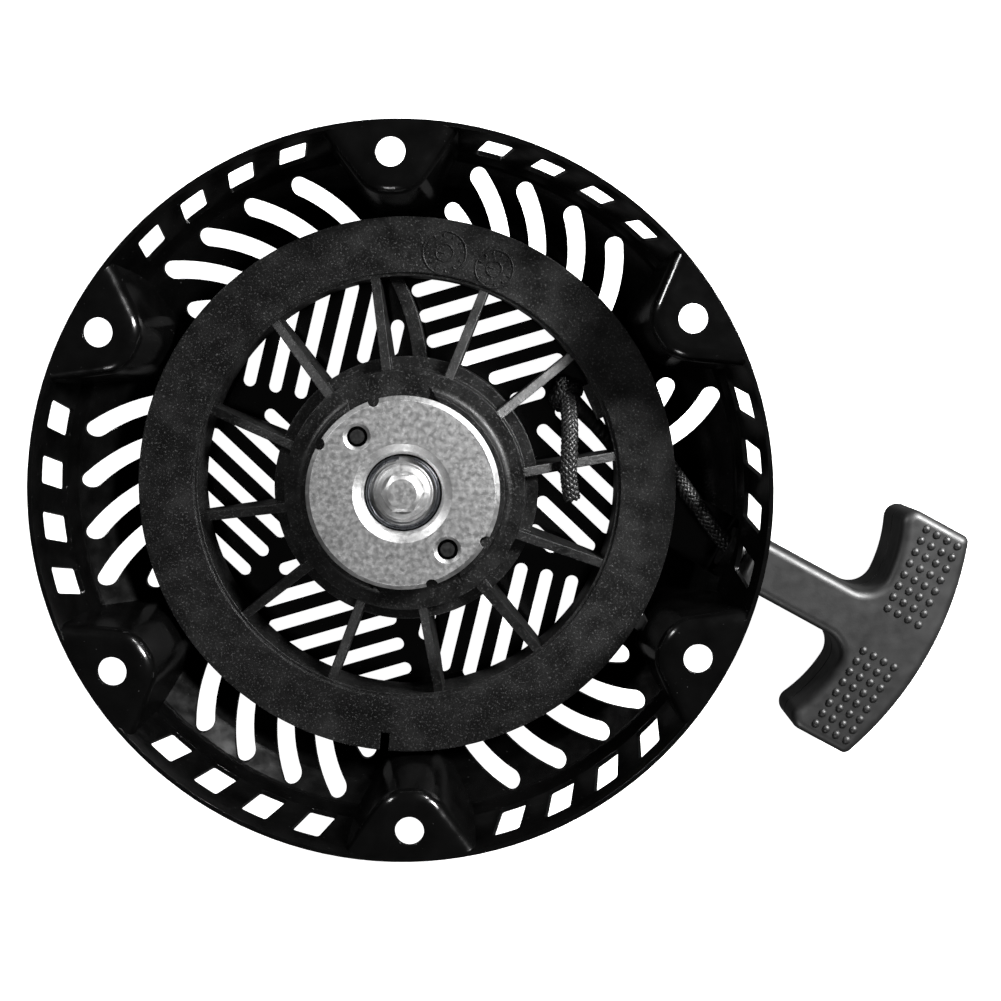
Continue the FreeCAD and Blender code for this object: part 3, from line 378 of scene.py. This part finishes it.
def dress_nodes():
    """Every carried-over CAD node takes the material of its slot."""
    slots = {part["node"]: part["material_slot"] for part in frame["record"]["subparts"]}
    for node, piece in frame["nodes"].items():
        piece.data.materials.clear()
        piece.data.materials.append(WOUND_ROPE if node in HIDDEN_ROPE else MATERIALS[slots[node]])


# ------------------------------------------------------------------ mesh helpers
def new_piece(name, mesh, body, slot, material=None):
    piece = bpy.data.objects.new(name, mesh)
    bpy.context.scene.collection.objects.link(piece)
    mesh.materials.append(material or MATERIALS[slot])
    if body:
        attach(piece, body)
    return piece


def mesh_from(name, points, faces, smooth=True):
    mesh = bpy.data.meshes.new(name)
    mesh.from_pydata(points, [], faces)
    mesh.update()
    if smooth:
        mesh.shade_smooth()
    return mesh


def frames_along(points):
    """Tangent, normal and side at each point, carried along without twist."""
    count = len(points)
    tangents = []
    for i in range(count):
        ahead = points[min(i + 1, count - 1)] - points[max(i - 1, 0)]
        tangents.append(ahead.normalized())
    normal = tangents[0].orthogonal().normalized()
    result = []
    for tangent in tangents:
        normal = (normal - tangent * normal.dot(tangent)).normalized()
        result.append((tangent, normal, tangent.cross(normal)))
    return result


def even_steps(points, step):
    """The same line with points step apart."""
    lengths = [0.0]
    for first, second in zip(points, points[1:]):
        lengths.append(lengths[-1] + (second - first).length)
    count = max(2, int(lengths[-1] / step) + 1)
    result = []
    k = 0
    for i in range(count):
        target = lengths[-1] * i / (count - 1)
        while k < len(points) - 2 and lengths[k + 1] < target:
            k += 1
        span = lengths[k + 1] - lengths[k]
        share = (target - lengths[k]) / span if span > 0 else 0.0
        result.append(points[k].lerp(points[k + 1], share))
    return result


def route(corners):
    """Points read from the smooth spline that has the corners as its control points."""
    data = bpy.data.curves.new("route", "CURVE")
    data.dimensions = "3D"
    data.resolution_u = 24
    spline = data.splines.new("NURBS")
    spline.points.add(len(corners) - 1)
    for point, corner in zip(spline.points, corners):
        point.co = (*corner, 1.0)
    spline.order_u = 3
    spline.use_endpoint_u = True
    carrier = bpy.data.objects.new("route", data)
    mesh = bpy.data.meshes.new_from_object(carrier)
    points = [vertex.co.copy() for vertex in mesh.vertices]
    bpy.data.objects.remove(carrier)
    bpy.data.curves.remove(data)
    bpy.data.meshes.remove(mesh)
    return points


def add_tube(points, radius, sides, store, squash=1.0):
    """Adds a closed tube along points to store, which is (vertices, faces)."""
    vertices, faces = store
    base = len(vertices)
    for point, (_, normal, side) in zip(points, frames_along(points)):
        for k in range(sides):
            turn = math.tau * k / sides
            across = normal * math.cos(turn) + side * (squash * math.sin(turn))
            vertices.append(point + across * radius)
    for i in range(len(points) - 1):
        for k in range(sides):
            here = base + i * sides + k
            beside = base + i * sides + (k + 1) % sides
            faces.append((here, beside, beside + sides, here + sides))
    faces.append(tuple(base + k for k in reversed(range(sides))))
    last = base + (len(points) - 1) * sides
    faces.append(tuple(last + k for k in range(sides)))


BRAID_STRANDS = 8
BRAID_PITCH = 15 * MM
STRAND_STEP = 0.55 * MM
# sizes in the braid as shares of the rope's radius
STRAND_SHARE = 0.30
STRAND_REACH = 0.80
STRAND_LIFT = 0.10
CORE_SHARE = 0.72


def braid(line, name, radius=ROPE_RADIUS):
    """A braided rope along a line: strands wound both ways, each over one and under the next."""
    line = even_steps(line, STRAND_STEP)
    axes = frames_along(line)
    store = ([], [])
    wind = math.tau / BRAID_PITCH
    for hand in (1, -1):
        for i in range(BRAID_STRANDS):
            path = []
            for k, (point, (_, normal, side)) in enumerate(zip(line, axes)):
                travel = k * STRAND_STEP
                turn = math.tau * i / BRAID_STRANDS + hand * wind * travel
                lift = hand * STRAND_LIFT * math.cos(BRAID_STRANDS * wind * travel)
                reach = radius * (STRAND_REACH + lift)
                path.append(point + (normal * math.cos(turn) + side * math.sin(turn)) * reach)
            add_tube(path, radius * STRAND_SHARE, 6, store, 0.9)
    add_tube(line, radius * CORE_SHARE, 10, store)
    return mesh_from(name, *store)


# ------------------------------------------------------------------ rope
def leaving_point():
    """Where the run to the guide leaves the drum."""
    target = on_pull_line(GUIDE_REACH)
    angle = math.atan2(target.y, target.x) + math.acos(ROPE_REACH / math.hypot(target.x, target.y))
    return math.degrees(angle)


LEAVE = leaving_point()


def build_run():
    """The braided run from the drum into the guide."""
    guide = on_pull_line(GUIDE_REACH - 2 * MM)
    start = polar(ROPE_REACH, LEAVE, ROPE_LEVEL)
    before = polar(ROPE_REACH, LEAVE + 7, ROPE_LEVEL)
    nearer = start.lerp(guide, 0.3)
    farther = start.lerp(guide, 0.8)
    line = route([before, start, nearer, farther, guide, on_pull_line(LEAD_START)])
    run = new_piece("rope_run_braid", braid(line, "rope_run_braid"), "housing_body", "rope")
    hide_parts("rope_run")


LEAD_START = GUIDE_REACH + 1 * MM
LEAD_END = GUIDE_REACH + 3.4 * MM
LEAD_ROOT = GUIDE_REACH - 1 * MM
LEAD_TIP = GUIDE_REACH + 20 * MM
LEAD_STEPS = 60


def build_lead():
    """The rope from the guide into the handle, as a straight tube; on the real starter this length grows as the
    handle is pulled.
    """
    reaches = [LEAD_ROOT, GUIDE_REACH]
    for k in range(LEAD_STEPS + 1):
        reaches.append(LEAD_START + (LEAD_END - LEAD_START) * k / LEAD_STEPS)
    reaches.append(LEAD_TIP)
    store = ([], [])
    add_tube([on_pull_line(reach) for reach in reaches], ROPE_RADIUS * 0.98, 24, store)
    lead = new_piece("rope_lead", mesh_from("rope_lead", *store), None, "rope", LEAD_ROPE)
    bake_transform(lead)


KNOT_CENTRE = polar(61.2 * MM, 28.9, ROPE_LEVEL - 0.8 * MM)
KNOT_LEAN = (0.5, 0.6, 0.3)
KNOT_POINTS = 90
KNOT_SCALE = 1.45 * MM
KNOT_ROPE_RADIUS = 2.3 * MM
# the tail's route from the middle of the knot, in millimetres
TAIL_ROUTE = (
    (0.2, -1.0, 2.0),
    (0.6, -8.0, 11.0),
    (0.0, -18.0, 15.2),
    (-0.8, -27.0, 15.0),
    (0.6, -34.0, 13.5),
)


def build_knot():
    """An overhand knot, which is a trefoil, and the loose tail that comes out of it."""
    lean = Euler(KNOT_LEAN).to_matrix()
    loops = []
    for k in range(KNOT_POINTS + 1):
        t = math.tau * k / KNOT_POINTS
        ring = 2 + math.cos(3 * t)
        offset = Vector((ring * math.cos(2 * t), ring * math.sin(2 * t), math.sin(3 * t)))
        loops.append(KNOT_CENTRE + lean @ offset * KNOT_SCALE)
    knot_mesh = braid(loops, "rope_knot_loops", KNOT_ROPE_RADIUS)
    knot = new_piece("rope_knot_loops", knot_mesh, "reel_body", "rope")
    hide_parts("rope_knot")
    tail_line = route([KNOT_CENTRE + Vector(point) * MM for point in TAIL_ROUTE])
    new_piece("rope_tail", braid(tail_line, "rope_tail"), "reel_body", "rope")


# ------------------------------------------------------------------ handle
DOME_RADIUS = 1.4 * MM
DOME_HEIGHT = 1.0 * MM
DOME_SINK = 0.1 * MM


def add_dome(centre, up, store, rings=3, sides=12):
    """Adds a low dome that points up (1) or down (-1) from centre."""
    vertices, faces = store
    base = len(vertices)
    for ring in range(rings):
        tilt = math.pi / 2 * ring / rings
        for k in range(sides):
            turn = up * math.tau * k / sides
            flat = PULL * math.cos(turn) + SIDE * math.sin(turn)
            rise = UP * (up * DOME_HEIGHT * math.sin(tilt))
            vertices.append(centre + flat * (DOME_RADIUS * math.cos(tilt)) + rise)
    vertices.append(centre + UP * (up * DOME_HEIGHT))
    top = len(vertices) - 1
    for ring in range(rings - 1):
        for k in range(sides):
            here = base + ring * sides + k
            beside = base + ring * sides + (k + 1) % sides
            faces.append((here, beside, beside + sides, here + sides))
    last = base + (rings - 1) * sides
    for k in range(sides):
        faces.append((last + k, last + (k + 1) % sides, top))
    faces.append(tuple(base + k for k in reversed(range(sides))))


GRIP_ROWS = 8
GRIP_COLUMNS = 4
GRIP_ROW_PITCH = 4.08 * MM
GRIP_COLUMN_PITCH = 3.85 * MM
GRIP_MARGIN = 8.0 * MM
GRIP_SHIFT = 0.4 * MM
# how far the rows fall back, for each metre along the bar, to follow its curve
GRIP_SLANT = 0.061


def build_handle_grips():
    """Rows of small domes on both faces of the T, either side of the stem."""
    outer = max(point.dot(PULL) for point in corners_of("handle_front"))
    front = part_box("handle_front")[1].z
    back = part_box("handle_back")[0].z
    for node, face, up in (("handle_front", front, 1.0), ("handle_back", back, -1.0)):
        store = ([], [])
        for hand in (-1, 1):
            for row in range(GRIP_ROWS):
                along = GRIP_MARGIN + row * GRIP_ROW_PITCH
                for column in range(GRIP_COLUMNS):
                    reach = outer - GRIP_MARGIN - column * GRIP_COLUMN_PITCH - GRIP_SLANT * along
                    centre = on_pull_line(reach, face - up * DOME_SINK)
                    add_dome(centre + SIDE * (hand * along + GRIP_SHIFT), up, store)
        name = node + "_grip_domes"
        new_piece(name, mesh_from(name, *store), "handle_body", "handle_plastic")


def corners_of(node):
    return [vertex.co for vertex in frame["nodes"][node].data.vertices]


# ------------------------------------------------------------------ moulding clocks
# for each clock, its place on the flange as radius and degrees, and its own radius
CLOCKS = ((78.0 * MM, 79.3, 7.3 * MM), (77.3 * MM, 66.7, 6.5 * MM))
CLOCK_PROUD = 0.30 * MM
CLOCK_SINK = 0.30 * MM
RIDGE_WIDTH = 0.5 * MM
TICKS = 12
TICK_WIDTH = 0.45 * MM
POINTER_WIDTH = 0.6 * MM
# places in a clock as shares of its outer radius
INNER_RING_SHARE = 0.36
TICK_START_SHARE = 0.72
TICK_SHARE = 0.16
POINTER_SHARE = 0.34


def add_ring(centre, inner, outer, store, sides=48):
    """A flat ring, standing CLOCK_PROUD above centre."""
    vertices, faces = store
    base = len(vertices)
    profile = ((inner, -CLOCK_SINK), (inner, CLOCK_PROUD), (outer, CLOCK_PROUD), (outer, -CLOCK_SINK))
    for k in range(sides):
        for radius, level in profile:
            vertices.append(centre + polar(radius, 360.0 * k / sides, level))
    for k in range(sides):
        for i in range(4):
            here = base + 4 * k + i
            above = base + 4 * k + (i + 1) % 4
            beyond = base + 4 * ((k + 1) % sides)
            faces.append((here, above, beyond + (i + 1) % 4, beyond + i))


def add_bar(centre, length, width, degrees, store):
    """A raised bar, from centre outwards."""
    vertices, faces = store
    base = len(vertices)
    turn = Matrix.Rotation(math.radians(degrees), 3, "Z")
    for level in (-CLOCK_SINK, CLOCK_PROUD):
        for x, side in ((0.0, -1), (length, -1), (length, 1), (0.0, 1)):
            vertices.append(centre + turn @ Vector((x, side * width / 2, level)))
    faces.append(tuple(base + k for k in (3, 2, 1, 0)))
    faces.append(tuple(base + k for k in (4, 5, 6, 7)))
    for k in range(4):
        after = (k + 1) % 4
        faces.append((base + k, base + after, base + after + 4, base + k + 4))


def build_clocks():
    """Two plain date clocks moulded in the reel's flange: a ring, its ticks and a pointer."""
    store = ([], [])
    for reach, turn, outer in CLOCKS:
        centre = polar(reach, turn, FLANGE_TOP)
        inner = INNER_RING_SHARE * outer
        add_ring(centre, outer - RIDGE_WIDTH, outer, store)
        add_ring(centre, inner, inner + 0.8 * RIDGE_WIDTH, store)
        for hour in range(TICKS):
            angle = 360.0 * hour / TICKS
            start = centre + polar(TICK_START_SHARE * outer, angle)
            add_bar(start, TICK_SHARE * outer, TICK_WIDTH, angle, store)
        add_bar(centre, POINTER_SHARE * outer, POINTER_WIDTH, turn + 90.0, store)
    mesh = mesh_from("reel_clocks", *store, smooth=False)
    new_piece("reel_clocks", mesh, "reel_body", "reel_plastic")


# ------------------------------------------------------------------ stage
LIGHT_TARGET = Vector((0.0, 0.0, -0.03))
# for each lamp, its name, place, width and power
LIGHTS = (
    ("key", (0.45, 0.24, 0.32), 0.16, 8.4),
    ("left", (-0.42, 0.36, 0.30), 0.10, 1.6),
    ("streak", (0.50, 0.75, 0.35), 0.08, 4.0),
    ("below", (-0.10, -0.55, 0.30), 0.12, 0.8),
)


def build_stage():
    bpy.ops.mesh.primitive_plane_add(size=6.0, location=(0.0, 0.0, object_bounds()[0][2]))
    floor = bpy.context.object
    floor.name = "floor"
    recipe = Recipe("pale_floor", grey(0.9), 0.8)
    recipe.shader.inputs["Emission Color"].default_value = (1.0, 1.0, 1.0, 1.0)
    recipe.shader.inputs["Emission Strength"].default_value = 1.0
    floor.data.materials.append(recipe.material)
    # the white floor is a backdrop only: it throws no light back on the black part
    floor.visible_diffuse = False
    floor.visible_glossy = False

    world = bpy.data.worlds.new("studio")
    world.use_nodes = True
    backdrop = world.node_tree.nodes["Background"]
    backdrop.inputs["Color"].default_value = (1.0, 1.0, 1.0, 1.0)
    backdrop.inputs["Strength"].default_value = 0.06
    bpy.context.scene.world = world

    for name, place, width, power in LIGHTS:
        data = bpy.data.lights.new(name, "AREA")
        data.shape = "DISK"
        data.size = width
        data.energy = power
        light = bpy.data.objects.new(name, data)
        light.location = place
        aim = LIGHT_TARGET - Vector(place)
        light.rotation_euler = aim.to_track_quat("-Z", "Y").to_euler()
        bpy.context.scene.collection.objects.link(light)
    bpy.context.scene.view_settings.view_transform = "Standard"


build_camera()
build_run()
build_lead()
build_knot()
dress_nodes()
build_handle_grips()
build_clocks()
build_stage()
